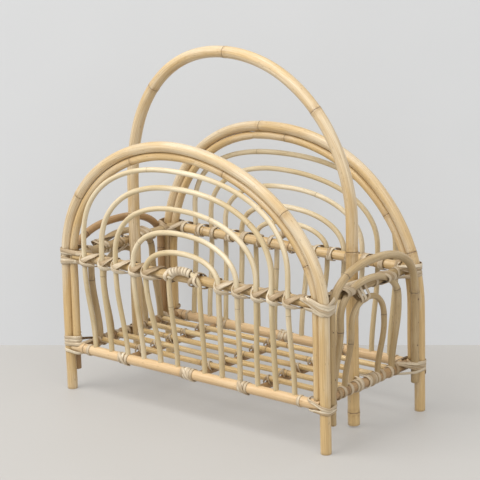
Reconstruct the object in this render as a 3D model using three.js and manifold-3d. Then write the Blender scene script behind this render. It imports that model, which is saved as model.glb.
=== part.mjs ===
// Rattan magazine rack, millimetres, +Z up, origin on the floor under the middle.
// X runs along the rack, -Y is the front panel, +Y the back panel.
import * as THREE from "three";
import { mergeVertices } from "three/addons/utils/BufferGeometryUtils.js";
import Module from "manifold-3d";

const wasm = await Module();
wasm.setup();

// ---------- sizes ----------
const gap = 0.3; // every joint is closed up to this clearance
const legX = 190; // outer hoop legs, half spacing along X
const legY = 87.4; // panel planes, half spacing along Y
const rOuter = 6.1, rInner = 4.7, rMid = 5.8, rBottom = 5.9, rRod = 3.0;
const hoopSpring = 140, hoopTop = 309; // outer hoop: where the arch starts, top centre
const zBottom = 53, zMid = 165; // rail centres
const rHandle = 6.8, handleX = 161.7, handleFoot = 2, handleSpring = 229, handleTop = 406;
const handleStub = 38; // the left handle leg is cut off just under the end bottom rail
const rEndOuter = 4.5, rEndMiddle = 3.9, rEndInner = 3.3;
const rEndMid = 5.6, rEndBottom = 5.7;
const endOuterTop = 201.5, endOuterSpring = 150, stubEnd = 26;
const rSlat = 3.3, slatPitch = 26.7, rBar = 4.0;
const caneT = 0.9; // cane strip thickness
const rodFoot = 20.3, rodPitch = 25.6; // rod feet along the bottom rail
const barX = [-(rodFoot + 3.5 * rodPitch), -2.5, rodFoot + 2.5 * rodPitch]; // floor bars, each midway between two rods
const rodOut = rMid + gap + caneT + gap + 0.7 + rRod; // rods pass outside the laced mid rail
const arches = [ // half width at the mid rail, spring height, top centre, from the outside in
  [150, 188, 281], [125, 183, 260.5], [103, 178, 238.5], [77, 168, 214], [54, 164, 194], [23, 166, 178.5],
];
const socket = 3.5; // how deep a rod foot goes into its rail

const group = new THREE.Group();
const pole = new THREE.MeshStandardMaterial({ name: "rattan_pole", color: 0xdcb878, roughness: 0.5 });
const rod = new THREE.MeshStandardMaterial({ name: "peeled_rod", color: 0xe8cf9c, roughness: 0.6 });
const endPole = new THREE.MeshStandardMaterial({ name: "end_pole", color: 0xc2a67c, roughness: 0.55 });
const cane = new THREE.MeshStandardMaterial({ name: "cane_strip", color: 0xcdb287, roughness: 0.5 });

// ---------- helpers ----------
const V = (x, y, z) => new THREE.Vector3(x, y, z);
function closed(positions, indices) {
  const g = new THREE.BufferGeometry();
  g.setAttribute("position", new THREE.Float32BufferAttribute(positions, 3));
  g.setIndex(indices);
  return g;
}
// A flat cane strip, laid along points with its face turned to the given normals.
function sweep(points, normals, profile, loop = false) {
  const n = points.length, m = profile.length, pos = [], idx = [];
  for (let i = 0; i < n; i++) {
    const a = points[loop ? (i + n - 1) % n : Math.max(i - 1, 0)];
    const b = points[loop ? (i + 1) % n : Math.min(i + 1, n - 1)];
    const t = b.clone().sub(a).normalize();
    const w = new THREE.Vector3().crossVectors(t, normals[i]).normalize();
    const u = new THREE.Vector3().crossVectors(w, t).normalize();
    for (const [p, q] of profile) {
      const v = points[i].clone().addScaledVector(u, p).addScaledVector(w, q);
      pos.push(v.x, v.y, v.z);
    }
  }
  const rings = loop ? n : n - 1;
  for (let i = 0; i < rings; i++)
    for (let j = 0; j < m; j++) {
      const a = i * m + j, b = i * m + ((j + 1) % m);
      const c = ((i + 1) % n) * m + ((j + 1) % m), d = ((i + 1) % n) * m + j;
      // a thin strip's inner face is split the same way as its outer one
      if (m === 4 && j === 3) idx.push(a, b, d, b, c, d);
      else idx.push(a, b, c, a, c, d);
    }
  if (!loop)
    for (let j = 1; j < m - 1; j++) {
      idx.push(0, j + 1, j);
      const e = (n - 1) * m;
      idx.push(e, e + j, e + j + 1);
    }
  return closed(pos, idx);
}
const strip = (w, t) => [[0, -w / 2], [t, -w / 2], [t, w / 2], [0, w / 2]];
// A line through given points, visited evenly, so that two nested hoops bend at the same places.
class PoleLine extends THREE.Curve {
  constructor(points) {
    super();
    this.points = points;
  }
  getPoint(t, target = new THREE.Vector3()) {
    const k = Math.min(Math.max(t, 0), 1) * (this.points.length - 1);
    const i = Math.min(Math.floor(k), this.points.length - 2);
    return target.lerpVectors(this.points[i], this.points[i + 1], k - i);
  }
  getUtoTmapping(u) {
    return u;
  }
}
const section = (r, sides) =>
  new THREE.Shape(Array.from({ length: sides }, (_, i) => {
    const a = (i + 0.5) / sides * 2 * Math.PI;
    return new THREE.Vector2(r * Math.cos(a), r * Math.sin(a));
  }));
// A round pole bent along points.
const tube = (points, r, sides) =>
  new THREE.ExtrudeGeometry(section(r, sides), {
    extrudePath: new PoleLine(points), steps: points.length - 1, bevelEnabled: false,
  });
// A straight round pole from a to b.
function straight(a, b, r, sides) {
  const along = b.clone().sub(a), g = new THREE.CylinderGeometry(r, r, along.length(), sides, 1, false, Math.PI / sides);
  g.applyQuaternion(new THREE.Quaternion().setFromUnitVectors(V(0, 1, 0), along.normalize()));
  return g.translate((a.x + b.x) / 2, (a.y + b.y) / 2, (a.z + b.z) / 2);
}
function toSolid(geometry) {
  const g = geometry.clone();
  g.deleteAttribute("normal");
  g.deleteAttribute("uv");
  const m = mergeVertices(g, 1e-4);
  return new wasm.Manifold(new wasm.Mesh({
    numProp: 3,
    vertProperties: new Float32Array(m.attributes.position.array),
    triVerts: new Uint32Array(m.index.array),
  }));
}
function toGeometry(solid) {
  const m = solid.getMesh();
  const pos = [];
  for (let i = 0; i < m.numVert; i++)
    pos.push(...m.vertProperties.subarray(i * m.numProp, i * m.numProp + 3));
  return closed(pos, Array.from(m.triVerts));
}
const join = (list) => toGeometry(list.map(toSolid).reduce((a, b) => a.add(b)));
const cut = (body, holes) =>
  toGeometry(holes.map(toSolid).reduce((a, b) => a.subtract(b), toSolid(body)));
function node(name, geometry, material, sx = 1, sy = 1) {
  const mesh = new THREE.Mesh(geometry, material);
  mesh.name = name;
  mesh.scale.set(sx, sy, 1);
  group.add(mesh);
}
// Half-width of a superellipse arch at height z.
function across(half, spring, top, z, n = 2) {
  if (z <= spring) return half;
  const k = Math.min((z - spring) / (top - spring), 1);
  return half * Math.pow(Math.max(1 - Math.pow(k, n), 0), 1 / n);
}
// Points of an arch in its own plane [s, z]: up one leg, over, down the other.
function archLine(half, spring, top, foot, n, legSteps, steps) {
  const out = [];
  for (let i = 0; i < legSteps; i++) out.push([half, foot + (spring - foot) * i / legSteps]);
  for (let i = 0; i <= steps; i++) {
    const t = Math.PI * i / steps, c = Math.cos(t), s = Math.sin(t);
    out.push([half * Math.sign(c) * Math.pow(Math.abs(c), 2 / n),
      spring + (top - spring) * Math.pow(s < 1e-9 ? 0 : s, 2 / n)]);
  }
  for (let i = 1; i <= legSteps; i++) out.push([-half, spring + (foot - spring) * i / legSteps]);
  return out;
}
const smooth = (a, b, x) => {
  const t = Math.min(Math.max((x - a) / (b - a), 0), 1);
  return t * t * (3 - 2 * t);
};

// ---------- side panels: built once at the front, mirrored for the back ----------
const sides = [["front", 1], ["back", -1]];
const panelY = -legY;
// Outer hoop: one pole, both feet on the floor.
const outerLine = archLine(legX, hoopSpring, hoopTop, 0, 2, 1, 20);
const outerHoop = tube(outerLine.map(([x, z]) => V(x, panelY, z)), rOuter, 8);
// Inner hoop: a thinner pole bent along the inside of the outer one, standing on the bottom rail.
const inset = rOuter + gap + rInner;
const innerFoot = zBottom + rBottom + gap;
const innerLine = archLine(legX, hoopSpring, hoopTop, innerFoot, 2, 1, 20).map(([x, z], i, all) => {
  const a = all[Math.max(i - 1, 0)], b = all[Math.min(i + 1, all.length - 1)];
  const dx = b[0] - a[0], dz = b[1] - a[1], l = Math.hypot(dx, dz);
  return [x - (dz / l) * inset, z + (dx / l) * inset];
});
innerLine[0][1] = innerFoot;
innerLine[innerLine.length - 1][1] = innerFoot;
const innerHoop = tube(innerLine.map(([x, z]) => V(x, panelY, z)), rInner, 8);
const innerAt = (z) => {
  for (let i = 1; i < innerLine.length / 2; i++)
    if (innerLine[i][1] >= z) {
      const [x0, z0] = innerLine[i - 1], [x1, z1] = innerLine[i];
      return x0 + (x1 - x0) * (z - z0) / (z1 - z0);
    }
  return innerLine[0][0];
};
// Mid rail: butts the inner hoop legs.
const midEnd = Math.min(innerAt(zMid - rMid), innerAt(zMid + rMid)) - rInner - gap - 0.3;
const midRail = straight(V(-midEnd, panelY, zMid), V(midEnd, panelY, zMid), rMid, 8);
// Six nested rods, seated in drilled sockets and pushed outward past the mid rail.
const rodFeet = arches.map((_, k) => rodFoot + rodPitch * (5 - k));
const seat = zBottom + rBottom - socket;
const upright = zBottom + rBottom + 3; // a rod stands straight in its socket up to here, then leans out
const footed = (line) => [[line[0][0], seat], ...line, [line[line.length - 1][0], seat]];
const rodGeometry = arches.map(([half, spring, top], k) => {
  const n = k === 5 ? 2.1 : 2.25;
  const line = footed(archLine(half, spring, top, upright, n, 3, k > 3 ? 10 : 14));
  return tube(line.map(([x, z]) => {
    const lean = smooth(innerFoot + 4, zMid - 9, z);
    const foot = rodFeet[k] * Math.sign(x);
    const xx = z < spring ? foot + (x - foot) * lean : x;
    return V(xx, panelY - rodOut * lean, z);
  }), rRod, 6);
});
const plug = (x, y, r) => straight(V(x, y, seat - gap * 2), V(x, y, zBottom + 12), r + gap * 1.4, 8);
const bottomEnd = legX - rOuter - gap - 0.1;
const bottomRail = cut(
  straight(V(-bottomEnd, panelY, zBottom), V(bottomEnd, panelY, zBottom), rBottom, 10),
  rodFeet.flatMap((x) => [plug(x, panelY, rRod), plug(-x, panelY, rRod)]));
// Cane strip wound round a rail.
function wound(axis, centre, r, from, to, turns, width, perTurn = 8) {
  const n = Math.round(turns * perTurn), pts = [], nrm = [];
  for (let i = 0; i <= n; i++) {
    const a = (i / perTurn) * 2 * Math.PI, s = from + (to - from) * i / n;
    const u = Math.cos(a), v = Math.sin(a);
    const R = (r + gap + 0.45) / Math.cos(Math.PI / perTurn); // the flat strip bows inward a little
    pts.push(axis === "x" ? V(s, centre[0] + R * u, centre[1] + R * v) : V(centre[0] + R * u, s, centre[1] + R * v));
    nrm.push(axis === "x" ? V(0, u, v) : V(u, 0, v));
  }
  return sweep(pts, nrm, strip(width, caneT * 0.6));
}
const laceEnd = midEnd - 9;
const sideLacing = wound("x", [panelY, zMid], rMid, -laceEnd, laceEnd, 12, 4.4);
const binding = barX.map((x) => wound("x", [panelY, zBottom], rBottom, x - 4.2, x + 4.2, 2, 3.0));
for (const [side, sy] of sides) {
  node(side + "_outer_hoop", outerHoop, pole, 1, sy);
  node(side + "_inner_hoop", innerHoop, pole, 1, sy);
  node(side + "_mid_rail", midRail, pole, 1, sy);
  node(side + "_bottom_rail", bottomRail, pole, 1, sy);
  rodGeometry.forEach((g, k) => node(side + "_rod_arch_" + (k + 1), g, rod, 1, sy));
  node(side + "_lacing", sideLacing, cane, 1, sy);
  binding.forEach((g, k) => node(side + "_bar_binding_" + (k + 1), g, cane, 1, sy));
}

// ---------- end frames: built once at +X, mirrored for -X ----------
const ends = [["right", 1], ["left", -1]];
const endX = handleX + rHandle + gap + rEndBottom + 0.1;
const endArchY = legY - rOuter - gap - rEndOuter;
const endOuter = tube(archLine(endArchY, endOuterSpring, endOuterTop, stubEnd, 2.3, 1, 14)
  .map(([y, z]) => V(legX, y, z)), rEndOuter, 8);
const endMidY = legY - rMid - gap, endBottomY = legY - rBottom - gap;
const endMid = straight(V(endX, -endMidY, zMid), V(endX, endMidY, zMid), rEndMid, 8);
const endSeat = zBottom + rEndBottom - socket;
const endRods = [[53, 140, 176.5, rEndMiddle], [30, 128, 154.5, rEndInner]];
const endRodGeometry = endRods.map(([half, spring, top, r]) => {
  const out = rEndMid + gap + caneT + gap + 0.6 + r;
  const line = archLine(half, spring, top, upright, 2.1, 2, 10);
  return tube([[half, endSeat], ...line, [-half, endSeat]].map(([y, z]) =>
    V(endX + out * smooth(innerFoot + 4, spring - 4, z), y, z)), r, 6);
});
const endBottom = cut(
  straight(V(endX, -endBottomY, zBottom), V(endX, endBottomY, zBottom), rEndBottom, 10),
  endRods.flatMap(([half, , , r]) => [half, -half].map((y) =>
    straight(V(endX, y, endSeat - gap * 2), V(endX, y, zBottom + 12), r + gap * 1.6, 8))));
// Lacing on the end mid rail, kept to the outside where the handle leg stands against it.
function endLacingLine() {
  const pts = [], nrm = [], R = (rEndMid + gap + 0.4) / Math.cos(Math.PI / 8), free = rHandle + 4.5;
  const add = (y, a) => {
    pts.push(V(endX + R * Math.cos(a), y, zMid + R * Math.sin(a)));
    nrm.push(V(Math.cos(a), 0, Math.sin(a)));
  };
  const reach = legY - 23.4, n = 20;
  for (let i = 0; i <= n; i++) add(-reach + (reach - free) * i / n, (i - n) / 8 * 2 * Math.PI);
  for (let i = 0; i <= n; i++) add(free + (reach - free) * i / n, i / 8 * 2 * Math.PI);
  return sweep(pts, nrm, strip(4.2, caneT * 0.6));
}
const endLacing = endLacingLine();

// ---------- corner lashings: a band above and a band below the rails, and a cross between ----------
// Outline of circles [x, y, r] as a polygon, then its distance along a ray.
function outline(circles) {
  const p = [];
  for (const [x, y, r] of circles)
    for (let i = 0; i < 40; i++) {
      const a = i / 40 * 2 * Math.PI;
      p.push([x + r * Math.cos(a), y + r * Math.sin(a)]);
    }
  p.sort((a, b) => a[0] - b[0] || a[1] - b[1]);
  const turn = (o, a, b) => (a[0] - o[0]) * (b[1] - o[1]) - (a[1] - o[1]) * (b[0] - o[0]);
  const half = (list) => {
    const h = [];
    for (const q of list) {
      while (h.length > 1 && turn(h[h.length - 2], h[h.length - 1], q) <= 0) h.pop();
      h.push(q);
    }
    h.pop();
    return h;
  };
  return half(p).concat(half(p.slice().reverse()));
}
function reachOf(poly, c, a) {
  const d = [Math.cos(a), Math.sin(a)];
  let best = 0;
  poly.forEach((p, i) => {
    const q = poly[(i + 1) % poly.length], e = [q[0] - p[0], q[1] - p[1]];
    const det = d[0] * -e[1] + e[0] * d[1];
    if (Math.abs(det) < 1e-9) return;
    const w = [p[0] - c[0], p[1] - c[1]];
    const t = (w[0] * -e[1] + e[0] * w[1]) / det, s = (d[0] * w[1] - d[1] * w[0]) / det;
    if (t > 0 && s >= -1e-6 && s <= 1 + 1e-6) best = Math.max(best, t);
  });
  return best;
}
function lashing(zRail, rRail, withInnerBelow, width) {
  const legs = (z, inner) => {
    const list = [];
    for (const dz of [-width * 0.6, 0, width * 0.6]) {
      list.push([across(legX, hoopSpring, hoopTop, z + dz), -legY, rOuter * (z > hoopSpring ? 1.04 : 1)]);
      list.push([legX, -across(endArchY, endOuterSpring, endOuterTop, z + dz, 2.3), rEndOuter * (z > endOuterSpring ? 1.22 : 1)]);
      if (inner) list.push([innerAt(z + dz), -legY, rInner]);
    }
    return outline(list.map(([x, y, r]) => [x, y, r + gap + 0.25]));
  };
  const rise = rRail + gap + width / 2 + 0.7, c = [legX - 3, -legY + 4.5];
  const at = (a, z, inner, lift = 0) => {
    const t = reachOf(legs(z, inner), c, a) + lift;
    return V(c[0] + t * Math.cos(a), c[1] + t * Math.sin(a), z);
  };
  const parts = [];
  for (const [z, inner] of [[zRail + rise, true], [zRail - rise, withInnerBelow]]) {
    const pts = [], nrm = [], n = 16;
    for (let i = 0; i < n; i++) {
      const a = i / n * 2 * Math.PI;
      pts.push(at(a, z, inner, 1.0));
      nrm.push(V(Math.cos(a), Math.sin(a), 0));
    }
    parts.push(sweep(pts, nrm, strip(width, caneT), true));
  }
  for (const s of [1, -1]) {
    const pts = [], nrm = [], n = 9;
    for (let i = 0; i <= n; i++) {
      const k = i / n, a = (-132 + 178 * k) * Math.PI / 180;
      pts.push(at(a, zRail + s * (1 - 2 * k) * rise, true, 1.2));
      nrm.push(V(Math.cos(a), Math.sin(a), 0));
    }
    parts.push(sweep(pts, nrm, strip(width * 0.9, caneT)));
  }
  return join(parts);
}
const midLashing = lashing(zMid, rMid, true, 4.0);
const bottomLashing = lashing(zBottom, rBottom, false, 4.0);

// ---------- handle, its ties and the floor ----------
const handle = tube(archLine(handleX, handleSpring, handleTop, handleFoot, 2.08, 1, 20)
  .map(([x, z]) => V(x, 0, x < 0 ? Math.max(z, handleStub) : z)), rHandle, 8);
// Two crossed loops round the handle leg and the end bottom rail.
function handleTie() {
  const x0 = handleX - rHandle - gap - 0.4, x1 = endX + rEndBottom + gap + 0.4, parts = [];
  for (const s of [1, -1]) {
    const half = 12.5, pts = [], nrm = [], xm = (x0 + x1) / 2, hx = (x1 - x0) / 2;
    for (let i = 0; i < 16; i++) {
      const t = i / 16 * 2 * Math.PI, c = Math.cos(t), q = Math.sin(t);
      const a = xm + hx * Math.sign(c) * Math.pow(Math.abs(c), 2 / 3.4);
      const b = half * Math.sign(q) * Math.pow(Math.abs(q), 2 / 3.4);
      pts.push(V(a, b * 0.78, zBottom + s * b * 0.78));
      nrm.push(V(c, q * 0.707, s * q * 0.707));
    }
    parts.push(sweep(pts, nrm, strip(3.4, caneT), true));
  }
  return join(parts);
}
const tie = handleTie();
for (const [end, sx] of ends) {
  node(end + "_end_arch_outer", endOuter, endPole, sx);
  node(end + "_end_arch_middle", endRodGeometry[0], endPole, sx);
  node(end + "_end_arch_inner", endRodGeometry[1], endPole, sx);
  node(end + "_end_mid_rail", endMid, pole, sx);
  node(end + "_end_bottom_rail", endBottom, pole, sx);
  node(end + "_end_lacing", endLacing, cane, sx);
  node(end + "_handle_tie", tie, cane, sx);
  for (const [side, sy] of sides) {
    node(side + "_" + end + "_mid_lashing", midLashing, cane, sx, sy);
    node(side + "_" + end + "_bottom_lashing", bottomLashing, cane, sx, sy);
  }
}
node("handle_hoop", handle, pole);
// Floor: three bars across, five slats lengthwise on top of them.
const zSlat = 55.6, zBar = zSlat - rSlat - gap - rBar;
const barEnd = legY - rBottom - gap - caneT - gap - 0.6;
barX.forEach((x, k) => node("floor_bar_" + (k + 1),
  straight(V(x, -barEnd, zBar), V(x, barEnd, zBar), rBar, 8), pole));
[-2, -1, 0, 1, 2].forEach((k) => {
  const end = k === 0 ? handleX - rHandle - gap - 2.2 : endX - rEndBottom - gap - 0.2;
  node("floor_slat_" + (k + 3), straight(V(-end, k * slatPitch, zSlat), V(end, k * slatPitch, zSlat), rSlat, 8), rod);
});

export default group;
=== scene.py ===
import math
import random
import bpy
from mathutils import Matrix, Vector, noise


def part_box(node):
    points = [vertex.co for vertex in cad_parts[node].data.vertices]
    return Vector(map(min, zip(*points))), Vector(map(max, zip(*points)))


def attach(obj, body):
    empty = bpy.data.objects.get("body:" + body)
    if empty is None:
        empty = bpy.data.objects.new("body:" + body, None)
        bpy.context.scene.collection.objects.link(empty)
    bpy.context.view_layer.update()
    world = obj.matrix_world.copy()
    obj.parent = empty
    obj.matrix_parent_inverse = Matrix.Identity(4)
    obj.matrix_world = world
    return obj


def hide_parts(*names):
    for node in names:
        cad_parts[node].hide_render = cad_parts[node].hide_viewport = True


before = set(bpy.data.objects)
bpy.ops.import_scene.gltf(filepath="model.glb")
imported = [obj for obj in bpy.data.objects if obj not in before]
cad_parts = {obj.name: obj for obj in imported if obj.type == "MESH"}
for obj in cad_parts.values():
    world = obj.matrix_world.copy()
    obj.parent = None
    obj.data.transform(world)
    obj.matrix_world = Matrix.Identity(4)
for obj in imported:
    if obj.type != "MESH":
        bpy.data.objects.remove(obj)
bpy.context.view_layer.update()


# ---- Outer hoops -----------------------------------------------------------------------
# Each side panel hangs in one rattan pole about 12 mm thick, bent hot over a former, its bark
# scraped off and both feet sawn square to stand on the floor.  The arches set a little to one
# side as they cooled, and the old leaf joints still show as thin raised rings.
mm = 0.001
noise.seed_set(7)  # noise_vector starts from the clock otherwise, and no two runs bend alike
hoop_radius = 6.1 * mm
hoop_low, hoop_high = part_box("front_outer_hoop")
panel_y = -(hoop_low.y + hoop_high.y) / 2
leg_x = hoop_high.x - (hoop_high.y - hoop_low.y) / 2
arch_drift = -11.6 * mm
# Between these heights the tone of every pole is painted deeper towards the floor, as painted shade.
low_shade_starts = 190 * mm
low_shade_full = 100 * mm
tongue = 26 * mm
hoop_shapes = {
    "front": {"spring": 158 * mm, "top": 311.5 * mm, "fullness": 1.95, "rings": (0.3187, 0.7144)},
    "back": {"spring": 120 * mm, "top": 306.0 * mm, "fullness": 2.12, "rings": (0.2206, 0.536, 0.80)},
}


def arch_line(half, spring, top, foot, fullness, drift=0.0, right=None, left=None):
    """A bent arch in its own plane, up the right leg, over the top and down the left one."""
    right = half if right is None else right
    left = half if left is None else left
    line = []
    for i in range(40):
        line.append((right, foot + (spring - foot) * i / 40))
    for i in range(241):
        turn = math.pi * i / 240
        c = math.cos(turn)
        s = max(math.sin(turn), 0.0)
        reach = right if c > 0 else left
        rise = s ** (2 / fullness)
        line.append((math.copysign(reach * abs(c) ** (2 / fullness), c) + drift * rise * rise,
                     spring + (top - spring) * rise))
    for i in range(1, 41):
        line.append((-left, spring + (foot - spring) * i / 40))
    return line


def clamped(share):
    return min(max(share, 0.0), 1.0)


def middle_of(node, axis):
    """The middle of a frame node along one axis."""
    low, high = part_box(node)
    return (low[axis] + high[axis]) / 2


def pace_out(points, stops):
    """Points at the given distances along a line."""
    lengths = [0.0]
    for a, b in zip(points, points[1:]):
        lengths.append(lengths[-1] + (b - a).length)
    out = []
    k = 0
    for s in stops:
        s = min(max(s, 0.0), lengths[-1])
        while k < len(points) - 2 and lengths[k + 1] < s:
            k += 1
        span = max(lengths[k + 1] - lengths[k], 1e-9)
        out.append(points[k].lerp(points[k + 1], (s - lengths[k]) / span))
    return out


def length_of(points):
    return sum((b - a).length for a, b in zip(points, points[1:]))


def fresh_stock():
    """An empty pile of surface that poles and strips are added to."""
    return {"points": [], "faces": [], "skins": [], "grain": [], "ring": [], "tone": []}


def close_round(stock, first, rows, sides, order=1):
    """Joins rows of points into a tube; the order is -1 where the points run clockwise."""
    for i in range(rows - 1):
        for k in range(sides):
            a = first + i * sides + k
            b = first + i * sides + (k + 1) % sides
            quad = (a, b, b + sides, a + sides) if order > 0 else (a, a + sides, b + sides, b)
            stock["faces"].append(quad)
            stock["skins"].append(0)


def add_pole(stock, points, radius, side, seed, rings=(), sides=20, pace=3.2 * mm,
             wander=0.7 * mm, tone=0.5, tip=(1.0, 1.0)):
    """Sweeps a slightly uneven round pole along a line, with a low ridge at each leaf joint.
    Low down its tone is painted deeper, as painted shade: the tops stay paler, as if lit from above."""
    whole = length_of(points)
    joints = [r * whole for r in rings]
    steps = max(int(whole / pace), 2)
    stops = [whole * i / steps for i in range(steps + 1)]
    for joint in joints:
        for d in (-4.2, -2.4, -1.3, -0.6, -0.2, 0.0, 0.25, 0.7, 1.5, 2.8, 4.6):
            if 0 < joint + d * mm < whole:
                stops.append(joint + d * mm)
    stops = sorted(set(round(s, 6) for s in stops))
    stops = [s for i, s in enumerate(stops) if i == 0 or s - stops[i - 1] > 0.00012]
    middle = pace_out(points, stops)
    first = len(stock["points"])
    away = Vector((seed * 3.71, seed * 1.37, seed * 0.93))
    rows = []
    for i, s in enumerate(stops):
        ahead = middle[min(i + 1, len(middle) - 1)] - middle[max(i - 1, 0)]
        along = ahead.normalized()
        across = (side - along * side.dot(along)).normalized()
        over = along.cross(across)
        calm = min(s, whole - s, 30 * mm) / (30 * mm)
        sway = noise.noise_vector(away + Vector((s * 9, 0.3, 0.7)))
        centre = middle[i] + (across * sway.x + over * sway.y) * wander * calm
        gap = min([s - j for j in joints], key=abs) if joints else 1.0
        swell = 1 + 0.045 * math.exp(-(gap / (2.6 * mm)) ** 2)
        swell -= 0.05 * math.exp(-(gap / (0.42 * mm)) ** 2)
        swell += (0.012 if gap < 0 else -0.012) * math.exp(-abs(gap) / (25 * mm))
        for end, away_from_end in zip(tip, (s, whole - s)):
            swell *= end + (1 - end) * clamped(away_from_end / tongue) ** 0.7
        oval = 0.022 * noise.noise(away + Vector((0.1, s * 6, 2.0)))
        lean = 3 * noise.noise(away + Vector((s * 4, 5.0, 1.0)))
        rows.append((centre, across, over, along, swell, oval, lean, s, gap))
    for centre, across, over, along, swell, oval, lean, s, gap in rows:
        for k in range(sides):
            a = 2 * math.pi * k / sides
            lump = noise.noise(away + Vector((math.cos(a) * 0.9, math.sin(a) * 0.9, s * 38)))
            r = radius * swell * (1 + oval * math.cos(2 * (a - lean)) + 0.016 * lump)
            stock["points"].append(centre + across * r * math.cos(a) + over * r * math.sin(a))
            stock["grain"].append(Vector((radius * math.cos(a), radius * math.sin(a), s)) + away)
            stock["ring"].append(gap)
            # Painted shade: the tone deepens from 190 mm down to 100 mm above the floor.
            stock["tone"].append(tone + 0.42 * clamped((low_shade_starts - centre.z) / (low_shade_starts - low_shade_full)))
    close_round(stock, first, len(rows), sides)
    for row, sign in ((rows[0], -1), (rows[-1], 1)):
        centre, across, over, along, swell, oval, lean, s, gap = row
        rim = first + (0 if sign < 0 else (len(rows) - 1) * sides)
        start = len(stock["points"])
        for k in range(sides):
            a = 2 * math.pi * k / sides
            r = radius * swell * 0.9
            stock["points"].append(centre + along * sign * 0.45 * mm
                                   + across * r * math.cos(a) + over * r * math.sin(a))
            stock["grain"].append(Vector((r * math.cos(a), r * math.sin(a), s)) + away)
            stock["ring"].append(1.0)
            stock["tone"].append(tone)
        for k in range(sides):
            n = (k + 1) % sides
            quad = (rim + k, rim + n, start + n, start + k)
            stock["faces"].append(quad if sign > 0 else quad[::-1])
            stock["skins"].append(0)
        cap = tuple(range(start, start + sides))
        stock["faces"].append(cap if sign > 0 else cap[::-1])
        stock["skins"].append(1)
    return stock


def make_piece(name, stock, skins, slot, *nodes):
    """Turns a pile of surface into one named piece of the rack, in place of its CAD nodes."""
    mesh = bpy.data.meshes.new(name)
    mesh.from_pydata([tuple(p) for p in stock["points"]], [], stock["faces"])
    mesh.validate()
    grain = mesh.attributes.new("grain_run", "FLOAT_VECTOR", "POINT")
    grain.data.foreach_set("vector", [c for g in stock["grain"] for c in g])
    ring = mesh.attributes.new("from_joint", "FLOAT", "POINT")
    ring.data.foreach_set("value", stock["ring"])
    tone = mesh.attributes.new("tone", "FLOAT", "POINT")
    tone.data.foreach_set("value", stock["tone"])
    for skin in skins:
        mesh.materials.append(skin)
    mesh.polygons.foreach_set("material_index", stock["skins"])
    mesh.polygons.foreach_set("use_smooth", [s == 0 for s in stock["skins"]])
    mesh.update()
    piece = bpy.data.objects.new(name, mesh)
    bpy.context.scene.collection.objects.link(piece)
    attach(piece, "root")
    if nodes:
        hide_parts(*nodes)


def add_node(tree, kind, x, y, **settings):
    made = tree.nodes.new(kind)
    made.location = (x, y)
    for key, value in settings.items():
        setattr(made, key, value)
    return made


def feed(tree, source, target):
    """Sets a socket to a plain value, or wires it to another node's output."""
    if isinstance(source, bpy.types.NodeSocket):
        tree.links.new(source, target)
    elif isinstance(source, tuple) and len(source) == 3 and target.type == "RGBA":
        target.default_value = (*source, 1.0)
    else:
        target.default_value = source


def reckon(tree, x, y, operation, a, b=None, c=None, clamp=False):
    made = add_node(tree, "ShaderNodeMath", x, y, operation=operation, use_clamp=clamp)
    for k, value in enumerate((a, b, c)):
        if value is not None:
            feed(tree, value, made.inputs[k])
    return made.outputs[0]


def tint(tree, x, y, amount, first, second):
    """Lays the second colour over the first by the given amount."""
    made = add_node(tree, "ShaderNodeMix", x, y, data_type="RGBA")
    feed(tree, amount, made.inputs[0])
    feed(tree, first, made.inputs[6])
    feed(tree, second, made.inputs[7])
    return made.outputs[2]


def ramp(tree, x, y, value, low, high, out_low=0.0, out_high=1.0):
    made = add_node(tree, "ShaderNodeMapRange", x, y, interpolation_type="SMOOTHSTEP")
    feed(tree, value, made.inputs["Value"])
    made.inputs["From Min"].default_value = low
    made.inputs["From Max"].default_value = high
    made.inputs["To Min"].default_value = out_low
    made.inputs["To Max"].default_value = out_high
    return made.outputs["Result"]


def cloudy(tree, x, y, where, scale, detail=2.0, roughness=0.5):
    """Soft noise at the given places."""
    made = add_node(tree, "ShaderNodeTexNoise", x, y)
    feed(tree, where, made.inputs["Vector"])
    made.inputs["Scale"].default_value = scale
    made.inputs["Detail"].default_value = detail
    made.inputs["Roughness"].default_value = roughness
    return made.outputs["Fac"]


def scaled_place(tree, x, y, where, steps):
    """A place multiplied by a step along each axis."""
    made = add_node(tree, "ShaderNodeVectorMath", x, y, operation="MULTIPLY")
    feed(tree, where, made.inputs[0])
    feed(tree, steps, made.inputs[1])
    return made.outputs[0]


def new_finish(name):
    """An empty material with its node tree and its surface."""
    finish = bpy.data.materials.new(name)
    finish.use_nodes = True
    return finish, finish.node_tree, finish.node_tree.nodes["Principled BSDF"]


def new_group(name, takes, gives):
    group = bpy.data.node_groups.new(name, "ShaderNodeTree")
    for label, value in takes:
        socket = group.interface.new_socket(label, in_out="INPUT", socket_type="NodeSocketFloat")
        socket.default_value = value
    for label in gives:
        group.interface.new_socket(label, in_out="OUTPUT", socket_type="NodeSocketFloat")
    return group, add_node(group, "NodeGroupInput", -1200, 0), add_node(group, "NodeGroupOutput", 900, 0)


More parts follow.
